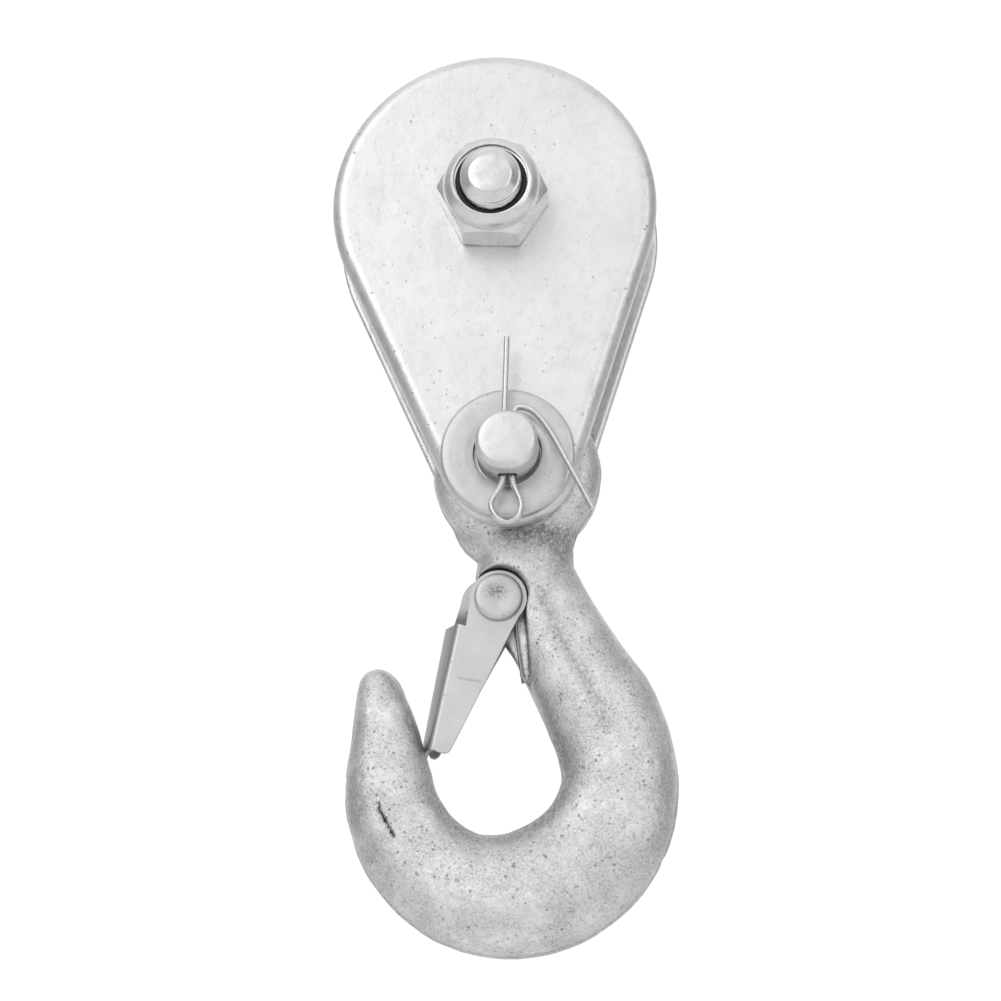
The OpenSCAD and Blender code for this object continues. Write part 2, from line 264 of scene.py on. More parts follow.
def rough(place, size, octaves=1):
    """Noise from about -1 to 1 whose lumps are `size` millimetres across."""
    total, weight, reach = 0.0, 1.0, 0.0
    for _ in range(octaves):
        total += weight * noise.noise(Vector(place) / size)
        reach += weight
        weight *= 0.5
        size *= 0.5
    return total / reach


def paint(piece, name, value):
    """Stores value(place in mm) on every point, for the material to read."""
    layer = piece.data.attributes.new(name, "FLOAT", "POINT")
    for item, point in zip(layer.data, piece.data.vertices):
        item.value = value(point.co / MM)


def finish_piece(piece, body, slot, material, *replaced):
    """Puts the piece on its body, gives it its finish, and hides the CAD nodes it stands for."""
    piece.data.materials.clear()
    piece.data.materials.append(material)
    for face in piece.data.polygons:
        face.material_index = 0
    if body:
        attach(piece, body)
    if replaced:
        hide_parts(*replaced)
    return piece


# ---- materials ----------------------------------------------------------------------


class Shader:
    """A small helper to build one node material."""

    def __init__(self, name):
        self.material = bpy.data.materials.new(name)
        self.material.use_nodes = True
        self.tree = self.material.node_tree
        self.surface = self.tree.nodes["Principled BSDF"]
        self.place = self.add("ShaderNodeTexCoord").outputs["Object"]

    def add(self, kind, **settings):
        node = self.tree.nodes.new(kind)
        for key, value in settings.items():
            setattr(node, key, value)
        return node

    def put(self, socket, value):
        if isinstance(value, bpy.types.NodeSocket):
            self.tree.links.new(value, socket)
        else:
            socket.default_value = value

    def lumps(self, size, detail=3.0, fine=0.55, place=None):
        """Noise from 0 to 1 with lumps of the given size in millimetres."""
        node = self.add("ShaderNodeTexNoise")
        self.put(node.inputs["Vector"], place or self.place)
        node.inputs["Scale"].default_value = 1 / (size * MM)
        node.inputs["Detail"].default_value = detail
        node.inputs["Roughness"].default_value = fine
        return node.outputs["Fac"]

    def cells(self, size):
        """Distance to scattered points about `size` millimetres apart, in cell widths."""
        node = self.add("ShaderNodeTexVoronoi")
        self.put(node.inputs["Vector"], self.place)
        node.inputs["Scale"].default_value = 1 / (size * MM)
        return node.outputs["Distance"]

    def painted(self, name):
        return self.add("ShaderNodeAttribute", attribute_name=name).outputs["Fac"]

    def stretch(self, x, y, z):
        """The place with its axes stretched, for grain that runs one way."""
        node = self.add("ShaderNodeVectorMath", operation="MULTIPLY")
        self.put(node.inputs[0], self.place)
        node.inputs[1].default_value = (x, y, z)
        return node.outputs[0]

    def line(self, start, end, width):
        """1 on the line through two (x, z) points in millimetres, 0 past `width` beside it."""
        along = (Vector(end) - Vector(start)).normalized()
        node = self.add("ShaderNodeVectorMath", operation="DOT_PRODUCT")
        self.put(node.inputs[0], self.place)
        node.inputs[1].default_value = (-along.y, 0, along.x)
        middle = (along.x * start[1] - along.y * start[0]) * MM
        value = node.outputs["Value"]
        return self.product(self.spread(value, middle - width * MM, middle),
                            self.spread(value, middle + width * MM, middle))

    def rings(self):
        """A place that only changes with the distance from the Y axis, and along it."""
        split = self.add("ShaderNodeSeparateXYZ")
        self.put(split.inputs[0], self.place)
        square = self.sum(self.product(split.outputs["X"], split.outputs["X"]),
                          self.product(split.outputs["Z"], split.outputs["Z"]))
        root = self.add("ShaderNodeMath", operation="SQRT")
        self.put(root.inputs[0], square)
        joined = self.add("ShaderNodeCombineXYZ")
        self.put(joined.inputs[0], root.outputs[0])
        self.put(joined.inputs[1], split.outputs["Y"])
        return joined.outputs[0]

    def band(self, axis, low, high, fade=0.2):
        """1 between two places along an axis, in millimetres, fading to 0 past them."""
        split = self.add("ShaderNodeSeparateXYZ")
        self.put(split.inputs[0], self.place)
        value = split.outputs[axis]
        return self.product(self.spread(value, (low - fade) * MM, low * MM),
                            self.spread(value, (high + fade) * MM, high * MM))

    def spread(self, value, low, high, to_low=0.0, to_high=1.0):
        """Maps low..high to to_low..to_high, held at both ends."""
        node = self.add("ShaderNodeMapRange")
        self.put(node.inputs["Value"], value)
        node.inputs["From Min"].default_value = low
        node.inputs["From Max"].default_value = high
        node.inputs["To Min"].default_value = to_low
        node.inputs["To Max"].default_value = to_high
        return node.outputs["Result"]

    def sum(self, *values):
        return self.fold("ADD", values)

    def product(self, *values):
        return self.fold("MULTIPLY", values)

    def fold(self, operation, values):
        total = values[0]
        for value in values[1:]:
            node = self.add("ShaderNodeMath", operation=operation)
            self.put(node.inputs[0], total)
            self.put(node.inputs[1], value)
            total = node.outputs[0]
        return total

    def mix(self, share, first, second):
        node = self.add("ShaderNodeMix", data_type="RGBA")
        self.put(node.inputs["Factor"], share)
        self.put(node.inputs[6], first if isinstance(first, bpy.types.NodeSocket) else rgb(first))
        self.put(node.inputs[7],
                 second if isinstance(second, bpy.types.NodeSocket) else rgb(second))
        return node.outputs[2]

    def finish(self, colour, roughness, height=None, depth=0.0, metallic=1.0):
        self.put(self.surface.inputs["Base Color"],
                 colour if isinstance(colour, bpy.types.NodeSocket) else rgb(colour))
        self.put(self.surface.inputs["Roughness"], roughness)
        self.surface.inputs["Metallic"].default_value = metallic
        if height is not None:
            bump = self.add("ShaderNodeBump")
            bump.inputs["Strength"].default_value = 1.0
            bump.inputs["Distance"].default_value = depth * MM
            self.put(bump.inputs["Height"], height)
            self.put(self.surface.inputs["Normal"], bump.outputs["Normal"])
        return self.material


def rgb(value):
    """A grey level or three colour levels as a colour."""
    if isinstance(value, (int, float)):
        value = (value, value, value)
    return (*value[:3], 1.0)


def plate_material():
    """Bright zinc on rolled plate: smooth and even, cloudy, with fine pits near the edge."""
    s = Shader("plate_zinc")
    clouds = s.spread(s.lumps(16, 4, 0.6), 0.35, 0.65)
    streaks = s.spread(s.lumps(5, 4, 0.6, place=s.stretch(1, 1, 0.35)), 0.35, 0.7)
    colour = s.mix(clouds, (0.765, 0.77, 0.772), (0.85, 0.852, 0.85))
    colour = s.mix(s.product(streaks, 0.35), colour, (0.90, 0.90, 0.895))
    grain = s.lumps(0.55, 3, 0.6)
    colour = s.mix(s.spread(grain, 0.56, 0.75, 0, 0.35), colour, (0.66, 0.665, 0.67))
    edge = s.painted("edge")
    pits = s.product(s.spread(s.cells(1.5), 0.13, 0.2, 1, 0), s.spread(s.lumps(6, 2), 0.5, 0.62))
    rare = s.product(s.spread(s.cells(3.2), 0.06, 0.1, 1, 0), s.spread(s.lumps(9, 2), 0.46, 0.56))
    pits = s.fold("MAXIMUM", (s.product(pits, edge), s.product(rare, 0.8)))
    colour = s.mix(s.product(pits, 0.65), colour, (0.26, 0.26, 0.26))
    blotch = s.product(edge, s.spread(s.lumps(2.6, 4, 0.7), 0.48, 0.72))
    colour = s.mix(s.product(blotch, 0.5), colour, (0.55, 0.555, 0.56))
    roughness = s.spread(s.sum(s.product(clouds, 0.6), s.product(grain, 0.4)), 0, 1, 0.32, 0.46)
    height = s.sum(s.product(s.lumps(7, 3), 2.0), s.product(grain, 0.25),
                   s.product(pits, -1.2), s.product(blotch, -0.7))
    return s.finish(colour, roughness, height, 0.05)


def hook_material():
    """Grainy zinc over a forged surface, with dark pores, and smudges of scale and painted shade.
    """
    s = Shader("hook_zinc")
    grain = s.lumps(0.42, 4, 0.72)
    coarse = s.lumps(1.4, 4, 0.65)
    clouds = s.spread(s.lumps(11, 4, 0.6), 0.35, 0.65)
    colour = s.mix(clouds, (0.66, 0.665, 0.665), (0.80, 0.802, 0.798))
    colour = s.mix(s.spread(grain, 0.5, 0.68, 0, 0.75), colour, (0.86, 0.86, 0.85))
    colour = s.mix(s.spread(grain, 0.5, 0.32, 0, 0.8), colour, (0.32, 0.32, 0.325))
    bright = s.product(s.spread(s.lumps(6, 4, 0.65), 0.46, 0.62), s.spread(coarse, 0.35, 0.55))
    colour = s.mix(s.product(bright, 0.75), colour, (0.94, 0.94, 0.935))
    # Speckled dark zones: random patches of scale, and painted shade under the plates, round the
    # lug, on the bowl's inner rim, beside the flash line and along RIDGE.
    grime_and_shade_zone = s.painted("grime_and_shade")
    pores = s.product(s.spread(s.cells(1.1), 0.2, 0.3, 1, 0), s.spread(coarse, 0.5, 0.62))
    colour = s.mix(s.product(pores, 0.6), colour, (0.16, 0.16, 0.165))
    smudge_and_shade = s.product(grime_and_shade_zone, s.spread(s.lumps(0.8, 5, 0.75), 0.36, 0.6))
    colour = s.mix(s.product(smudge_and_shade, 0.8), colour, (0.15, 0.15, 0.155))
    colour = s.mix(s.painted("scar"), colour, (0.035, 0.035, 0.035))
    roughness = s.spread(grain, 0.3, 0.7, 0.42, 0.3)
    height = s.sum(s.product(grain, 1.0), s.product(coarse, 1.1), s.product(pores, -1.0),
                   s.product(smudge_and_shade, -0.8))
    return s.finish(colour, roughness, height, 0.11)


def latch_material():
    """Smooth zinc on pressed sheet, faint rolling lines and scuffs, painted shade at fold, crease
    and channel.
    """
    s = Shader("latch_zinc")
    clouds = s.spread(s.lumps(7, 3), 0.35, 0.65)
    colour = s.mix(clouds, (0.60, 0.605, 0.608), (0.68, 0.683, 0.684))
    lines = s.lumps(1.2, 4, 0.7, place=s.stretch(1, 1, 6))
    colour = s.mix(s.spread(lines, 0.55, 0.75, 0, 0.4), colour, (0.76, 0.76, 0.76))
    scuffs = s.product(s.spread(s.cells(1.7), 0.12, 0.18, 1, 0), s.spread(s.lumps(3, 3), 0.52, 0.6))
    colour = s.mix(s.product(scuffs, 0.5), colour, (0.30, 0.30, 0.305))
    # A dark line painted as shade along a faint crease on the front cheek; the bump dents it too.
    crease_and_shade = s.product(s.line((-12.6, -93.95), (-7.2, -95.35), 0.3), s.band("Y", -5, -3.6),
                       s.band("X", -12.2, -8.2, 0.8))
    colour = s.mix(s.product(crease_and_shade, 0.42), colour, (0.36, 0.36, 0.365))
    # Painted shade on the rear cheek's inner face, up in the channel.
    channel_shade = s.product(s.band("Y", 3.3, 3.9), s.band("Z", -81.5, -80.3, 2.5))
    colour = s.mix(s.product(channel_shade, 0.8), colour, (0.10, 0.10, 0.102))
    # Painted shade: darkest on the web by the front fold, faint on the rear half.
    colour = s.mix(s.painted("inside"), colour, (0.16, 0.16, 0.163))
    roughness = s.spread(clouds, 0, 1, 0.36, 0.46)
    height = s.sum(s.product(s.lumps(5, 2), 0.9), s.product(lines, 0.25),
                   s.product(crease_and_shade, -1.0), s.product(scuffs, -0.6))
    return s.finish(colour, roughness, height, 0.05)


def fastener_material(name, base, gloss, smudges=0.0):
    """Bright zinc plating on turned and forged fasteners."""
    s = Shader(name)
    clouds = s.spread(s.lumps(4, 4, 0.65), 0.35, 0.65)
    colour = s.mix(clouds, base * 0.9, min(1.0, base * 1.07))
    grain = s.lumps(0.35, 3, 0.6)
    colour = s.mix(s.spread(grain, 0.58, 0.74, 0, 0.4), colour, base * 0.72)
    spots = s.product(s.spread(s.cells(1.3), 0.12, 0.2, 1, 0), s.spread(s.lumps(3, 3), 0.5, 0.6))
    colour = s.mix(s.product(spots, 0.45), colour, 0.28)
    if smudges:
        smudge_and_shade = s.product(s.painted("grime_and_shade"), s.spread(s.lumps(0.5, 5, 0.8), 0.42, 0.55))
        colour = s.mix(s.product(smudge_and_shade, smudges), colour, 0.10)
    roughness = s.spread(s.sum(s.product(clouds, 0.5), s.product(grain, 0.5)), 0.2, 0.8,
                         gloss, gloss + 0.14)
    height = s.sum(s.product(s.lumps(2.2, 3), 0.8), s.product(grain, 0.3),
                   s.product(spots, -0.6))
    return s.finish(colour, roughness, height, 0.04)


def wire_material(name, base, gloss):
    """Drawn wire with fine marks."""
    s = Shader(name)
    marks = s.lumps(0.5, 3, 0.6)
    colour = s.mix(s.spread(marks, 0.4, 0.7), base, min(1.0, base * 1.2))
    return s.finish(colour, s.spread(marks, 0.3, 0.7, gloss, gloss + 0.1), marks, 0.004)


def turned_material(name, base, gloss, ring=0.25):
    """Steel turned on a lathe: fine rings round the Y axis."""
    s = Shader(name)
    rings = s.lumps(ring, 2, 0.5, place=s.rings())
    clouds = s.spread(s.lumps(5, 3), 0.35, 0.65)
    colour = s.mix(clouds, base * 0.92, min(1.0, base * 1.06))
    colour = s.mix(s.spread(rings, 0.5, 0.7, 0, 0.35), colour, base * 0.7)
    return s.finish(colour, s.spread(rings, 0.3, 0.7, gloss, gloss + 0.12), rings, 0.02)


def nylon_material():
    """Black moulded nylon with a faint sheen and dust."""
    s = Shader("nylon_black")
    dust = s.spread(s.lumps(0.6, 4, 0.7), 0.5, 0.8)
    colour = s.mix(s.product(dust, 0.5), 0.012, 0.06)
    return s.finish(colour, s.spread(dust, 0, 1, 0.42, 0.6), s.lumps(0.5, 3), 0.03, metallic=0.0)


PLATE_ZINC = plate_material()
HOOK_ZINC = hook_material()
LATCH_ZINC = latch_material()
FASTENER_ZINC = fastener_material("fastener_zinc", 0.80, 0.17)
PIN_ZINC = fastener_material("pin_zinc", 0.80, 0.34)
RIVET_ZINC = fastener_material("rivet_zinc", 0.66, 0.36, smudges=1.0)
WASHER_STEEL = fastener_material("washer_steel", 0.66, 0.34)
WIRE_STEEL = wire_material("wire_steel", 0.66, 0.2)
SPRING_STEEL = wire_material("spring_steel", 0.33, 0.28)
BEARING_STEEL = turned_material("bearing_steel", 0.70, 0.12)
CAGE_STEEL = turned_material("cage_steel", 0.50, 0.3)
SHIELD_STEEL = turned_material("shield_steel", 0.48, 0.26)
SHEAVE_STEEL = turned_material("sheave_steel", 0.62, 0.26, ring=0.35)
NYLON_BLACK = nylon_material()

# ---- cheek plates ------------------------------------------------------------------

PLATE_TAPER = math.asin((HEAD_R - FOOT_R) / -PIN.z)
PLATE_EDGE_R = 2.6
PLATE_BACK_R = 0.5


def plate_outline(inset):
    """The plate's outline, moved inwards by inset, starting at the right of the head."""
    taper = math.degrees(PLATE_TAPER)
    head = arc((0, 0), HEAD_R - inset, -taper, 180 + taper, 150)
    foot = arc((0, PIN.z), FOOT_R - inset, 180 + taper, 360 - taper, 60)
    side_steps = 24

    def side(start, end):
        return [(start[0] + (end[0] - start[0]) * i / side_steps,
                 start[1] + (end[1] - start[1]) * i / side_steps) for i in range(1, side_steps)]

    return head + side(head[-1], foot[0]) + foot + side(foot[-1], head[0])


def make_plate(name, facing, node, seed):
    """One cheek plate: well rounded outside, barely inside, bored for bolt and pin."""
    steps = [(PLATE_BACK_R + 0.5, PLATE_IN), (PLATE_BACK_R, PLATE_IN),
             (PLATE_BACK_R * 0.3, PLATE_IN + PLATE_BACK_R * 0.3), (0, PLATE_IN + PLATE_BACK_R)]
    for i in range(9):
        a = math.radians(90 * i / 8)
        steps.append((PLATE_EDGE_R * (1 - math.cos(a)),
                      PLATE_OUT - PLATE_EDGE_R * (1 - math.sin(a))))
    steps.append((PLATE_EDGE_R + 0.6, PLATE_OUT))
    loops = [[(x, y, z) for x, z in plate_outline(inset)] for inset, y in steps]
    count = len(loops[0])
    work = bmesh.new()
    rings = [[work.verts.new(Vector((x, facing * y, z)) * MM) for x, y, z in loop]
             for loop in loops]
    for first, second in zip(rings, rings[1:]):
        for k in range(count):
            work.faces.new((first[k], first[k - 1], second[k - 1], second[k]))
    holes = [(0, 0, AXLE_R + 0.3), (PIN.x, PIN.z, PIN_R + 0.05)]
    hole_loops = []
    for ring, depth in ((rings[0], PLATE_IN), (rings[-1], PLATE_OUT)):
        edges = [work.edges.get((ring[k - 1], ring[k])) for k in range(count)]
        made = []
        for x, z, r in holes:
            circle = [work.verts.new(Vector((x + r * math.cos(k * math.pi / 32), facing * depth,
                                             z + r * math.sin(k * math.pi / 32))) * MM)
                      for k in range(64)]
            edges += [work.edges.new((circle[k - 1], circle[k])) for k in range(64)]
            made.append(circle)
        bmesh.ops.triangle_fill(work, edges=edges, use_beauty=True)
        hole_loops.append(made)
    for inner, outer in zip(*hole_loops):
        for k in range(64):
            work.faces.new((inner[k - 1], inner[k], outer[k], outer[k - 1]))
    for point in work.verts:
        place = point.co / MM
        worn = rough(place + Vector((seed, 0, 0)), 4.5, 2)
        if abs(place.y) < PLATE_OUT - 0.1 and abs(place.y) > PLATE_IN + 0.1:
            point.co += Vector((place.x, 0, place.z)).normalized() * MM * 0.05 * (worn - 1)
    piece = piece_from(name, work)
    tidy_normals(piece, math.radians(50))
    paint(piece, "edge", edge_wear)
    return finish_piece(piece, "cheek_block", "plate_zinc", PLATE_ZINC, node)


def edge_wear(place):
    """How worn the plate is: most on its rim, less on its faces."""
    return 1.0 if abs(place.y) < PLATE_OUT - 0.02 else 0.55


# ---- axle bolt and lock nut ----------------------------------------------------------

THREAD_PITCH = 1.75
THREAD_DEPTH = 0.75
HEX_SMOOTH = 0.12
NUT_TURN = 6


def hexagon(angle, turn):
    """Radius of a hexagon's edge at an angle, with its corners slightly rounded."""
    nearest = (angle - turn + math.pi / 6) % (math.pi / 3) - math.pi / 6
    flat = ACROSS_FLATS / 2
    return min(flat / math.cos(nearest), flat / math.cos(math.pi / 6) - HEX_SMOOTH)


def chamfer_rows(start, end, wide, narrow, rows):
    """Rows of a shallow chamfer from a wide radius to a narrow one, slightly domed."""
    return [(wide + (narrow - wide) * i / rows,
             start + (end - start) * (i / rows) ** 0.8) for i in range(rows + 1)]


def make_nut():
    """Self-locking nut: chamfered hexagon under a domed collar crimped in at its mouth."""
    turn = math.radians(30 - NUT_TURN)
    corner = ACROSS_FLATS / 2 / math.cos(math.pi / 6) + 0.1
    profile = [(AXLE_R + 0.05, 0.0), (9.0, 0.0)]
    profile += [(9.0 + (corner - 9.0) * i / 8, 0.08 + 0.75 * i / 8) for i in range(9)]
    profile += [(corner, 1 + 5.2 * i / 4) for i in range(1, 5)]
    profile += chamfer_rows(6.2, 7.7, corner, 9.35, 18)[1:]
    profile += [(9.42, 7.95), (9.5, 8.4), (9.47, 8.9), (9.36, 9.4), (9.16, 9.9), (8.86, 10.4),
                (8.5, 10.8), (8.1, 11.12), (7.75, 11.32), (7.5, NUT_H - 0.08), (7.3, NUT_H - 0.1),
                (7.2, NUT_H - 0.25), (7.2, NUT_H - 0.6), (7.3, NUT_H - 1.2), (6.95, NUT_H - 1.3),
                (6.95, NUT_H - 4.2), (AXLE_R + 0.05, NUT_H - 4.3)]
    profile = [(r, -PLATE_OUT - h) for r, h in profile]

    def shape(radius, depth, angle):
        height = -PLATE_OUT - depth
        if radius > 9.0 and height < 7.75:
            return min(radius, hexagon(angle, turn))
        return radius

    piece = lathe("lock_nut_body", profile, steps=288, shape=shape, loop=True,
                  sharp=math.radians(24))
    return finish_piece(piece, "cheek_block", "fastener_zinc", FASTENER_ZINC, "lock_nut")


def make_nylon_ring():
    """The ring that locks the nut, proud of the thread, just inside the collar."""
    top = -PLATE_OUT - NUT_H + 1.15
    profile = [(6.02, top + 2.8), (6.9, top + 2.8), (6.9, top + 0.1), (6.8, top + 0.02),
               (6.3, top), (6.12, top + 0.08), (6.02, top + 0.3)]
    piece = lathe("nut_nylon_ring", profile, steps=96, loop=True)
    return finish_piece(piece, "cheek_block", "nylon_black", NYLON_BLACK, "nut_nylon_insert")


BOLT_HEAD_TURN = math.radians(11)


def make_bolt():
    """Hexagon-head bolt with a rolled thread and a worn, chamfered end."""
    end = -AXLE_END
    profile = [(0.01, end), (2.0, end), (3.6, end + 0.02), (4.1, end + 0.1), (4.35, end + 0.25),
               (4.6, end + 0.55), (5.0, end + 0.95), (5.35, end + 1.25), (5.7, end + 1.5)]
    thread_start = end + 1.6
    rows = 64
    profile += [(5.95, thread_start + 7.0 * i / rows) for i in range(rows + 1)]
    profile += [(5.98, thread_start + 7.4), (5.98, PLATE_OUT), (6.6, PLATE_OUT + 0.01),
                (9.0, PLATE_OUT + 0.02), (9.4, PLATE_OUT + 0.1)]
    corner = ACROSS_FLATS / 2 / math.cos(math.pi / 6) + 0.1
    profile += [(corner, PLATE_OUT + 0.4), (corner, AXLE_BACK - 1.7)]
    profile += chamfer_rows(AXLE_BACK - 1.5, AXLE_BACK - 0.15, corner, 9.1, 14)
    profile += [(8.7, AXLE_BACK - 0.02), (7.2, AXLE_BACK), (6.9, AXLE_BACK - 0.03),
                (6.6, AXLE_BACK - 0.35), (4.0, AXLE_BACK - 0.45), (0.01, AXLE_BACK - 0.45)]

    def shape(radius, depth, angle):
        if radius > 9.35:
            return min(radius, hexagon(angle, BOLT_HEAD_TURN))
        if thread_start - 0.4 <= depth <= thread_start + 7.2:
            phase = (depth / THREAD_PITCH + angle / (2 * math.pi)) % 1
            wave = max(0.0, min(1.0, (abs(phase - 0.5) * 2 - 0.12) * 1.35))
            fade = min(1.0, max(0.25, (depth - thread_start + 0.4) / 1.2))
            return radius - THREAD_DEPTH * wave * fade
        return radius

    piece = lathe("axle_bolt_body", profile, steps=192, shape=shape, sharp=math.radians(34))
    return finish_piece(piece, "cheek_block", "fastener_zinc", FASTENER_ZINC, "axle_bolt")


# ---- clevis pin, washer and split pin --------------------------------------------------

PIN_TURN = math.radians(3)
CROSS_HOLE_R = 1.9
CROSS_HOLE_Y = -WASHER_OUT - 2.5
SPLIT_WIRE_R = 0.8


def turn_about_pin(piece):
    """Turns a piece made upright to the clevis pin's place at rest."""
    place = (Matrix.Translation(PIN * MM) @ Matrix.Rotation(PIN_TURN, 4, "Y")
             @ Matrix.Translation(-PIN * MM))
    piece.data.transform(place)


def make_clevis_pin():
    """Headed pin, chamfered at its free end, with the split pin's hole across it."""
    end = -PIN_END
    head = PLATE_OUT + 0.3
    profile = [(0.01, end), (3.5, end), (5.0, end + 0.03), (5.3, end + 0.12), (5.55, end + 0.36),
               (5.8, end + 0.62), (5.93, end + 0.85), (PIN_R - 0.02, end + 1.2),
               (PIN_R, end + 2.0), (PIN_R, head), (PIN_R + 0.2, head), (9.2, head),
               (9.42, head + 0.12), (9.5, head + 0.45), (9.5, PIN_BACK - 0.9),
               (9.35, PIN_BACK - 0.5), (9.0, PIN_BACK - 0.18), (8.4, PIN_BACK - 0.03),
               (7.0, PIN_BACK), (0.01, PIN_BACK)]
    piece = lathe("clevis_pin_body", profile, centre=(PIN.x, PIN.z), steps=160)
    sides = 48
    points = [(PIN.x + CROSS_HOLE_R * math.cos(2 * math.pi * k / sides),
               CROSS_HOLE_Y + CROSS_HOLE_R * math.sin(2 * math.pi * k / sides), PIN.z + z)
              for z in (-PIN_R - 2, PIN_R + 2) for k in range(sides)]
    cut(piece, make_piece("cross_hole", points, tube_faces(2, sides)))
    tidy_normals(piece, math.radians(40))
    turn_about_pin(piece)
    return finish_piece(piece, "pin_set", "fastener_zinc", PIN_ZINC, "clevis_pin")


def make_washer():
    """Stamped washer, rounded on its front edge, hanging slightly off the pin's centre."""
    front = -WASHER_OUT
    back = -PLATE_OUT - 0.15
    rim = 12.9
    hole = 6.5
    profile = [(hole, back - 0.1), (hole, front + 0.5), (hole + 0.12, front + 0.16),
               (hole + 0.45, front), (hole + 2, front), (rim - 2, front),
               (rim - 0.75, front + 0.01),
               (rim - 0.3, front + 0.14), (rim - 0.08, front + 0.4), (rim, front + 0.8),
               (rim, back - 0.35), (rim - 0.2, back - 0.02), (rim - 1, back), (hole + 0.3, back)]
    piece = lathe("clevis_washer_ring", profile, centre=(PIN.x - 0.15, PIN.z - 0.3), steps=160,
                  loop=True)
    return finish_piece(piece, "pin_set", "washer_steel", WASHER_STEEL, "clevis_washer")


def make_split_pin():
    """Half-round wire doubled on itself: open eye below, one leg up, one bent over."""
    apart = 0.64
    eye = PIN_R + 1.5
    top = PIN_R + 1.2
    down = smooth_curve([
        (-apart + 0.6, 0, 22.2), (-apart + 0.4, 0, 16), (-apart + 0.2, 0, 10), (-apart, 0, 2),
        (-apart, 0, 2 - PIN_R),
        (-apart - 0.5, 0, -eye), (-2.9, -0.4, -eye - 3.2), (-3, -0.7, -eye - 5),
        (-1.9, -0.9, -eye - 7), (0, -1, -eye - 8), (1.9, -0.9, -eye - 7), (2.6, -0.7, -eye - 5),
        (2.4, -0.4, -eye - 3.2), (apart + 0.5, 0, -eye), (apart, 0, 2 - PIN_R), (apart, 0, 0),
        (apart, 0, PIN_R - 1), (apart + 0.7, 0, top - 0.2), (2, -0.1, top + 0.6),
        (3.4, -0.3, top + 0.5), (5.2, -0.5, top - 0.5), (7, -0.6, top - 2.6),
        (8.6, -0.7, top - 5.2), (10.4, -0.8, top - 8.6), (12.4, -0.9, top - 12.6),
        (16.2, -1, top - 20.2)], 6)
    section = [(0.76 * u, v) for u, v in arc((0, 0), SPLIT_WIRE_R, 0, 345, 23)]
    path = [(PIN.x + x, CROSS_HOLE_Y + y, PIN.z + z) for x, y, z in down]
    piece = sweep("split_pin_wire", path, section)
    turn_about_pin(piece)
    return finish_piece(piece, "pin_set", "wire_steel", WIRE_STEEL, "split_pin")


# ---- hook -------------------------------------------------------------------------------

# Stations along the hook, from the eye to the tip, in the hook's own frame:
# (x, z, half width across the bend, half thickness along the pin)
HOOK_LINE = [
    (1.7, -7, 13.6, 6.6), (2.5, -12, 12.1, 7), (3.5, -16.5, 9.3, 7.4), (4, -22, 9.8, 8),
    (7.2, -27.5, 9.5, 8.4), (10.7, -33, 9.5, 8.7), (14.7, -39.5, 10.1, 9), (18.8, -46, 10.8, 9),
    (21.9, -53, 11, 9), (23.4, -60, 11.1, 9), (22.6, -67, 11.6, 9), (19.3, -74, 12.1, 9),
    (12.8, -80, 12.3, 9), (3.8, -83.2, 11.9, 9), (-5.9, -82, 11, 8.8), (-14, -76.3, 10, 8.3),
    (-18.8, -68.5, 9.1, 7.7), (-20.6, -60.5, 8.1, 7), (-21.6, -52.6, 6.4, 6), (-23, -46, 4.8, 4.7),
    (-24.4, -42, 3.1, 3.2), (-25, -40.4, 1.2, 1.3)]
SECTION_POWER = 2.3
EYE_R = 16.3
EYE_HALF = 7.0
EYE_SHIFT = 1.1
HOOK_BORE_R = PIN_R + 0.08
LUG_HALF = 1.8
LUG_R = 5.2
LATCH_END_R = 5.5
RIVET_IN_HOOK = (-1.1, -26.0)
BOWL_IN_HOOK = (0, -59.7)
HOOK_VOXEL = 0.38


def hook_to_row(x, z):
    """From the hook's own frame to the block's."""
    return (PIN.x + x * math.cos(HOOK_HANG) + z * math.sin(HOOK_HANG),
            PIN.z - x * math.sin(HOOK_HANG) + z * math.cos(HOOK_HANG))


def hang(points):
    """Points of the hook's own frame, in the block's frame."""
    return [(hook_to_row(x, z)[0], y, hook_to_row(x, z)[1]) for x, y, z in points]


def hook_skin():
    """The swept skin of the hook, from the eye to the tip, as an oval squarer than an ellipse."""
    stations = smooth_curve(HOOK_LINE, 6)
    sides = 72
    points = []
    for i, (x, z, half_width, half_depth) in enumerate(stations):
        before, after = stations[max(i - 1, 0)], stations[min(i + 1, len(stations) - 1)]
        run = Vector((after[0] - before[0], after[1] - before[1])).normalized()
        for k in range(sides):
            c, s = math.cos(2 * math.pi * k / sides), math.sin(2 * math.pi * k / sides)
            across = half_width * math.copysign(abs(c) ** (2 / SECTION_POWER), c)
            along = half_depth * math.copysign(abs(s) ** (2 / SECTION_POWER), s)
            points.append((x - run.y * across, along, z + run.x * across))
    return make_piece("hook_forging", hang(points), tube_faces(len(stations), sides))


def pocket_cutter(side):
    """The space beside the lug that one of the latch's cheeks needs."""
    x, z = RIVET_IN_HOOK
    reach = LATCH_END_R + 0.3
    outline = arc((x, z), reach, -10, 90, 20)
    if side > 0:
        lean = LATCH_LEAN - HOOK_HANG
        x -= LATCH_SKEW * math.cos(lean)
        z += LATCH_SKEW * math.sin(lean)
    outline += arc((x, z), reach, 90, 180, 20)
    x, z = RIVET_IN_HOOK
    outline += [(x - 12, z), (x - 12, z - 20), (6.2, z - 20), (4.35, z - 3)]
    ends = (side * LUG_HALF, side * 14.0)
    points = hang([(px, y, pz) for y in ends for px, pz in outline])
    return make_piece("pocket", points, tube_faces(2, len(outline)))


def join(pieces):
    """Joins pieces into the first one."""
    work = bmesh.new()
    for piece in pieces:
        work.from_mesh(piece.data)
    work.to_mesh(pieces[0].data)
    work.free()
    for piece in pieces[1:]:
        bpy.data.objects.remove(piece)
    return pieces[0]


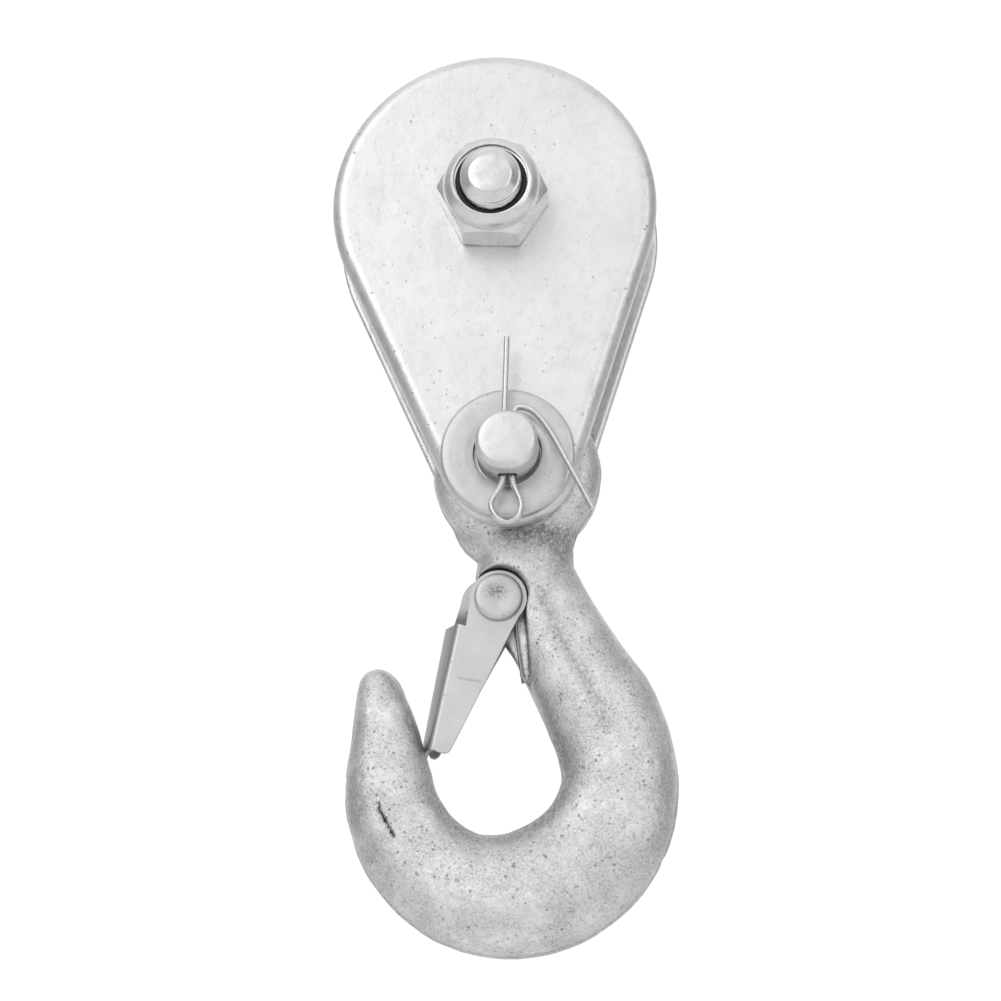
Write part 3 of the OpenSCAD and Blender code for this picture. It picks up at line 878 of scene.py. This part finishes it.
def shape_forging(piece):
    """Uneven forged skin, the flash line round the outside, and a true bore for the pin."""
    bowl_x, bowl_z = hook_to_row(*BOWL_IN_HOOK)
    normals = [point.normal.copy() for point in piece.data.vertices]
    for point, normal in zip(piece.data.vertices, normals):
        place = point.co / MM
        from_bore = math.hypot(place.x - PIN.x, place.z - PIN.z)
        if from_bore < HOOK_BORE_R + 1.0 and abs(place.y) < EYE_HALF + 1:
            out = Vector((place.x - PIN.x, 0, place.z - PIN.z)).normalized()
            if from_bore < HOOK_BORE_R + 0.45:
                point.co += out * (HOOK_BORE_R - from_bore) * MM
            continue
        outside = math.hypot(place.x - bowl_x, place.z - bowl_z) - 22
        flash = math.exp(-(place.y / 0.55) ** 2) * max(0.0, min(1.0, outside / 4))
        flash *= 0.5 + 0.35 * rough(place, 6)
        lumps = 0.16 * rough(place, 7, 2) + 0.05 * rough(place, 1.6, 2)
        dents = max(0.0, rough(place + Vector((40, 0, 0)), 2.4) - 0.42) * 0.5
        point.co += normal * MM * (0.45 * flash + lumps - dents - 0.08)


# A short crack on the front of the bowl, and the edge of the shank's bright side, where shade is
# painted, as (x, z)
SCAR = [(-28.4, -118.0), (-28.1, -119.8), (-27.4, -121.4), (-26.4, -123.2), (-25.9, -124.7)]
RIDGE = [(4.6, -79.5), (6.2, -84.5), (9.6, -92.5), (13.0, -99.5), (15.6, -106.0)]


def distance_to_line(place, line):
    """Distance in the X-Z plane from a place to a line of (x, z) points."""
    nearest = 1e9
    here = Vector((place.x, place.z))
    for start, end in zip(line, line[1:]):
        a, b = Vector(start), Vector(end)
        share = max(0.0, min(1.0, (here - a).dot(b - a) / (b - a).length_squared))
        nearest = min(nearest, (here - a.lerp(b, share)).length)
    return nearest


def hook_grime_and_shade(place):
    """Painted shade under the plates, round the lug, inside the bowl and along RIDGE, with patches
    of scale.
    """
    x, z = place.x, place.z
    neck = math.exp(-((x - 4.5) / 8.5) ** 2 - ((z + 67.1) / 2.7) ** 2)
    streak = math.exp(-((x - 8.5) / 2.6) ** 2 - ((z + 71.8) / 4) ** 2)
    bowl_x, bowl_z = hook_to_row(*BOWL_IN_HOOK)
    from_bowl = math.hypot(x - bowl_x, z - bowl_z)
    bowl = 0.8 * math.exp(-((from_bowl - 12.0) / 2.4) ** 2)
    seam = 0.6 * math.exp(-((abs(place.y) - 0.95) / 0.35) ** 2) * (from_bowl > 23)
    patches = 0.5 * max(0.0, rough(place, 13, 2) + 0.1)
    ridge = 0.6 * math.exp(-(distance_to_line(place, RIDGE) / 1.7) ** 2)
    return min(1.0, 1.15 * neck + 0.7 * streak + bowl + seam + patches + ridge)


def make_hook():
    """Forged eye hook: a swept shank and bowl, a thick eye and a lug for the latch."""
    forging = hook_skin()
    for side in (-1, 1):
        cut(forging, pocket_cutter(side))
    edge = 4.5
    profile = [(0.01, EYE_HALF), (HOOK_BORE_R + 0.5, EYE_HALF)]
    profile += [(EYE_R - edge + r, EYE_HALF - edge + y) for r, y in arc((0, 0), edge, 90, 0, 12)]
    profile += [(EYE_R - edge + r, edge - EYE_HALF + y) for r, y in arc((0, 0), edge, 0, -90, 12)]
    profile += [(HOOK_BORE_R + 0.5, -EYE_HALF), (0.01, -EYE_HALF)]
    eye = lathe("eye", profile, centre=hook_to_row(EYE_SHIFT, 0), steps=128)
    for solid in (forging, eye):
        cut(solid, lathe("bore", [(HOOK_BORE_R, -20), (HOOK_BORE_R, 20)], centre=(PIN.x, PIN.z)))
    rivet = hook_to_row(*RIVET_IN_HOOK)
    lug = lathe("lug", [(0.01, -LUG_HALF), (LUG_R, -LUG_HALF), (LUG_R, LUG_HALF), (0.01, LUG_HALF)],
                centre=rivet, steps=96)
    piece = join([forging, eye, lug])
    remesh = piece.modifiers.new("remesh", "REMESH")
    remesh.mode = "VOXEL"
    remesh.voxel_size = HOOK_VOXEL * MM
    soften = piece.modifiers.new("soften", "SMOOTH")
    soften.factor = 0.5
    soften.iterations = 6
    apply_modifiers(piece)
    shape_forging(piece)
    tidy_normals(piece, math.radians(60))
    # Painted shade in fixed zones of the hook, with random patches of dark scale.
    paint(piece, "grime_and_shade", hook_grime_and_shade)
    paint(piece, "scar", scar_depth)
    return finish_piece(piece, "hook_arm", "hook_zinc", HOOK_ZINC, "hook")


def scar_depth(place):
    """1 in a short crack on the front of the bowl, 0 elsewhere."""
    if place.y > 0:
        return 0.0
    width = 0.33 + 0.3 * rough(place, 0.9)
    return max(0.0, min(1.0, (width - distance_to_line(place, SCAR)) / 0.2 + 0.5))


# ---- latch, rivet and spring --------------------------------------------------------------

LATCH_HALF = 4.4
LATCH_T = 0.9
LATCH_SKEW = 2.4
FOLD_R = 0.85
WEB_HEAD = (-6.0, -7.4)
WEB_FOOT = (-2.5, -32.4)


def latch_to_row(x, z):
    """From the latch's own frame, with the rivet at its origin, to the block's frame."""
    return (RIVET.x + x * math.cos(LATCH_LEAN) + z * math.sin(LATCH_LEAN),
            RIVET.z - x * math.sin(LATCH_LEAN) + z * math.cos(LATCH_LEAN))


# Edges of the two cheeks' faces, from their round ends down to the foot and round to the
# fold, as (x, z) in the latch's own frame
FRONT_EDGE = [(1.6, -30.9), (1.35, -31.7), (0.7, -32.2), (-0.3, -32.35), (-1.6, -32.3)]
REAR_EDGE = [(0.0, -28.6), (-0.6, -29.6), (-1.0, -30.4), (-1.2, -31.6), (-1.7, -32.3),
             (-2.6, -32.4), (-3.3, -31.8), (-4.2, -30.2)]


def cheek_loop(fold, front):
    """The face of one cheek: its fold, then its round end and its other edge."""
    end_r = LATCH_END_R - 0.05
    if front:
        return fold + [(fold[-1][0] + 0.9, fold[-1][1] + 0.02)] + arc(
            (0, 0), end_r, 202, -25, 44) + FRONT_EDGE
    return fold + arc((-LATCH_SKEW, 0), end_r, 195, 100, 20) + arc(
        (-0.9, 0), end_r, 80, -18, 20) + REAR_EDGE


def make_latch():
    """Sheet folded into a channel: two cheeks with round ends and a sloping web."""
    half = LATCH_HALF - LATCH_T / 2
    rows = 16
    bend_steps = 5
    work = bmesh.new()

    def add(x, y, z):
        rx, rz = latch_to_row(x, z)
        return work.verts.new(Vector((rx, y, rz)) * MM)

    grid, folds = [], ([], [])
    for i in range(rows + 1):
        t = i / rows
        x = WEB_HEAD[0] + (WEB_FOOT[0] - WEB_HEAD[0]) * t + 0.25
        z = WEB_HEAD[1] + (WEB_FOOT[1] - WEB_HEAD[1]) * t
        skew = LATCH_SKEW * (1 - 0.25 * t)
        row = [(x + FOLD_R, -half, z)]
        for k in range(1, bend_steps + 1):
            a = math.radians(90 * k / bend_steps)
            row.append((x + FOLD_R * (1 - math.sin(a)), -half + FOLD_R * (1 - math.cos(a)), z))
        for k in range(bend_steps):
            a = math.radians(90 * (1 - k / bend_steps))
            row.append((x - skew + FOLD_R * (1 - math.sin(a)),
                        half - FOLD_R * (1 - math.cos(a)), z))
        row.append((x - skew + FOLD_R, half, z))
        grid.append([add(*p) for p in row])
        folds[0].append((row[0][0], z))
        folds[1].append((row[-1][0], z))
    for first, second in zip(grid, grid[1:]):
        for k in range(len(first) - 1):
            work.faces.new((first[k], first[k + 1], second[k + 1], second[k]))
    for column, fold, y in ((0, folds[0], -half), (-1, folds[1], half)):
        loop = cheek_loop(fold[::-1], column == 0)[rows + 1:]
        work.faces.new([row[column] for row in grid][::-1] + [add(x, y, z) for x, z in loop])
    bmesh.ops.recalc_face_normals(work, faces=work.faces)
    piece = piece_from("latch_channel", work)
    solid = piece.modifiers.new("sheet", "SOLIDIFY")
    solid.thickness = LATCH_T * MM
    solid.offset = 0
    solid.use_even_offset = True
    apply_modifiers(piece)
    round_edges(piece, 0.14)
    apply_modifiers(piece)
    tidy_normals(piece, math.radians(40))
    flat = piece.modifiers.new("flat_faces", "WEIGHTED_NORMAL")
    flat.keep_sharp = True
    # Painted shade by the front fold and on the rear half, for the material to read.
    paint(piece, "inside", latch_shade)
    return finish_piece(piece, "latch_gate", "latch_zinc", LATCH_ZINC, "latch")


def latch_shade(place):
    """Painted shade: darker on the web beside the front fold, and a little on the rear half."""
    if place.y < 0:
        return 0.7 * max(0.0, min(1.0, (place.y + LATCH_HALF - 0.05) / 0.6))
    return 0.14


def make_rivet():
    """Rivet through the lug, its two heads peened flat."""
    seat = LATCH_HALF + 0.06
    top = seat + 1.2
    half = [(0.01, top - 0.12), (1.2, top - 0.1), (2.6, top - 0.02), (3.6, top), (4.2, top - 0.08),
            (4.5, top - 0.28), (4.66, top - 0.6), (4.66, seat + 0.12), (4.5, seat), (2.0, seat)]
    profile = [(r, -y) for r, y in half] + [(r, y) for r, y in reversed(half)]
    piece = lathe("latch_rivet_body", profile, centre=(RIVET.x, RIVET.z), steps=96)
    for point in piece.data.vertices:
        place = point.co / MM
        if abs(place.y) > seat + 0.3:
            point.co.y -= math.copysign(0.05 * (1 + rough(place, 1.5, 2)), place.y) * MM
    paint(piece, "grime_and_shade", lambda p: math.exp(
        -((p.x - RIVET.x + 0.2) / 1.8) ** 2 - ((p.z - RIVET.z - 1.1) / 1.5) ** 2))
    return finish_piece(piece, "hook_arm", "fastener_zinc", RIVET_ZINC, "latch_rivet")


SPRING_WIRE_R = 0.35
COIL_R = 3.0
COIL_TURNS = 2.55
COIL_PITCH = 0.54


def make_spring_half(side):
    """Half of the double torsion spring: a leg on the shank, two turns, an arm to the web."""
    y0 = side * (LUG_HALF + 0.15 + SPRING_WIRE_R)
    x0, z0 = RIVET_IN_HOOK
    path = [(x0 + COIL_R + 2.2, y0, z0 - 15.1), (x0 + COIL_R + 1.3, y0, z0 - 10),
            (x0 + COIL_R + 0.3, y0, z0 - 4)]
    steps = 72
    for i in range(steps + 1):
        turned = COIL_TURNS * i / steps
        a = -2 * math.pi * turned
        path.append((x0 + COIL_R * math.cos(a), y0 + side * COIL_PITCH * turned,
                     z0 + COIL_R * math.sin(a)))
    y1 = path[-1][1]
    path += [(x0 - COIL_R - 0.6, y1, z0 - 4), (x0 - COIL_R - 1.6, y1, z0 - 8),
             (x0 - COIL_R - 2.4, y1 * 0.98, z0 - 11.4), (x0 - COIL_R - 2.5, y1 * 0.8, z0 - 12),
             (x0 - COIL_R - 2.5, 0, z0 - 12.2)]
    section = arc((0, 0), SPRING_WIRE_R, 0, 330, 11)
    piece = sweep("latch_spring_" + ("front" if side < 0 else "rear"), hang(path), section,
                  across=Vector((0.01, 1, 0.013)))
    finish_piece(piece, None, "spring_steel", SPRING_STEEL)
    return piece, (y0, y1)


def make_spring():
    """Both halves of the spring between the hook and the latch, in place of the CAD spring."""
    for side in (-1, 1):
        piece, (start, end) = make_spring_half(side)
        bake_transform(piece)
        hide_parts("latch_spring")


# ---- sheave and bearing ---------------------------------------------------------------------


def make_sheave():
    """Turned sheave: smooth rope groove, rounded flanges, recessed web and bored hub."""
    rim = node_box("sheave")[1].x
    half = node_box("sheave")[1].y
    pitch = 24.6
    groove = 3.2
    lean = 22
    right = [(rim - 0.5, half), (rim - 0.15, half - 0.15), (rim, half - 0.6)]
    lip = groove + (rim - pitch) * math.tan(math.radians(lean))
    profile = [(16.04, half - 1.7), (16.3, half - 1.4), (18, half - 1.4), (18.6, half - 1.6),
               (23.2, half - 1.6), (24, half - 1.3), (24.6, half - 0.4), (25.2, half)]
    profile += right + [(rim, lip + 0.3), (rim - 0.1, lip), (pitch + 0.9, groove + 0.25)]
    profile += arc((pitch, 0), groove, 90, 270, 30)
    profile += [(pitch + 0.9, -groove - 0.25), (rim - 0.1, -lip), (rim, -lip - 0.3)]
    profile += [(r, -y) for r, y in reversed(right)]
    profile += [(25.2, -half), (24.6, 0.4 - half), (24, 1.3 - half), (23.2, 1.6 - half),
                (18.6, 1.6 - half), (18, 1.4 - half), (16.3, 1.4 - half), (16.04, 1.7 - half)]
    piece = lathe("sheave_wheel_body", profile, steps=192, loop=True, sharp=math.radians(30))
    return finish_piece(piece, "sheave_wheel", "sheave_steel", SHEAVE_STEEL, "sheave")


def dress_cad_nodes():
    """CAD nodes that keep their shape get softened edges and a turned finish."""
    finishes = {
        "front_spacer": FASTENER_ZINC, "rear_spacer": FASTENER_ZINC,
        "bearing_inner_race": BEARING_STEEL, "bearing_outer_race": BEARING_STEEL,
        "bearing_balls": BEARING_STEEL, "bearing_cage": CAGE_STEEL,
        "front_bearing_shield": SHIELD_STEEL, "rear_bearing_shield": SHIELD_STEEL}
    for name, material in finishes.items():
        node = frame["nodes"][name]
        node.data.materials.clear()
        node.data.materials.append(material)
        if name != "bearing_balls":
            round_edges(node, 0.12)


# ---- floor, light and world --------------------------------------------------------------------


def add_floor():
    """A plain pale floor, well below the hanging block."""
    drop = -650.0
    half = 4000.0
    floor = make_piece("floor", [(-half, -half, drop), (half, -half, drop), (half, half, drop),
                                 (-half, half, drop)], [(0, 1, 2, 3)])
    s = Shader("pale_floor")
    floor.data.materials.append(s.finish(s.mix(s.lumps(60, 3), 0.95, 0.98), 0.7, metallic=0.0))


def add_area_light(name, place, size, power):
    """A soft light aimed at the block, with its place and size in millimetres."""
    data = bpy.data.lights.new(name, "AREA")
    data.shape = "RECTANGLE"
    data.size, data.size_y = size[0] * MM, size[1] * MM
    data.energy = power
    light = link_object(name, data)
    light.location = Vector(place) * MM
    aim = CAMERA_TARGET * MM - light.location
    light.rotation_euler = aim.to_track_quat("-Z", "Y").to_euler()


def add_world():
    """White surround for the camera, and for reflections one that darkens to the sides."""
    world = bpy.data.worlds.new("studio")
    bpy.context.scene.world = world
    world.use_nodes = True
    tree = world.node_tree
    tree.nodes.clear()
    add, link = tree.nodes.new, tree.links.new

    def ramp(value, *limits):
        made = add("ShaderNodeMapRange")
        link(value, made.inputs["Value"])
        for socket, limit in zip(("From Min", "From Max", "To Min", "To Max"), limits):
            made.inputs[socket].default_value = limit
        return made.outputs["Result"]

    def maths(operation, *values):
        made = add("ShaderNodeMath")
        made.operation = operation
        for value, socket in zip(values, made.inputs):
            link(value, socket)
        return made.outputs[0]

    place = add("ShaderNodeTexCoord")
    split = add("ShaderNodeSeparateXYZ")
    link(place.outputs["Generated"], split.inputs[0])
    height = ramp(split.outputs["Z"], -0.75, 0.15, 0.35, 1.0)
    fall = ramp(maths("ABSOLUTE", split.outputs["X"]), 0.35, 0.95, 1.0, 0.45)
    seen = add("ShaderNodeBackground")
    seen.inputs["Color"].default_value = rgb(1.0)
    seen.inputs["Strength"].default_value = 1.05
    soft = add("ShaderNodeBackground")
    soft.inputs["Color"].default_value = rgb(0.86)
    link(maths("MULTIPLY", height, fall), soft.inputs["Strength"])
    path = add("ShaderNodeLightPath")
    mix = add("ShaderNodeMixShader")
    link(path.outputs["Is Camera Ray"], mix.inputs[0])
    link(soft.outputs[0], mix.inputs[1])
    link(seen.outputs[0], mix.inputs[2])
    output = add("ShaderNodeOutputWorld")
    link(mix.outputs[0], output.inputs["Surface"])


def add_stage():
    """The floor, the surround and two soft lights."""
    add_floor()
    add_world()
    add_area_light("key", (-500, -900, 420), (700, 700), 1.6)
    add_area_light("fill", (650, -700, 100), (500, 700), 0.7)
    bpy.context.scene.view_settings.view_transform = "Standard"


# ---- the whole block --------------------------------------------------------------------------

make_plate("cheek_plate_front", -1, "front_cheek_plate", 0)
make_plate("cheek_plate_rear", 1, "rear_cheek_plate", 57)
make_nut()
make_nylon_ring()
make_bolt()
make_clevis_pin()
make_washer()
make_split_pin()
make_hook()
make_latch()
make_rivet()
make_spring()
make_sheave()
dress_cad_nodes()
add_stage()
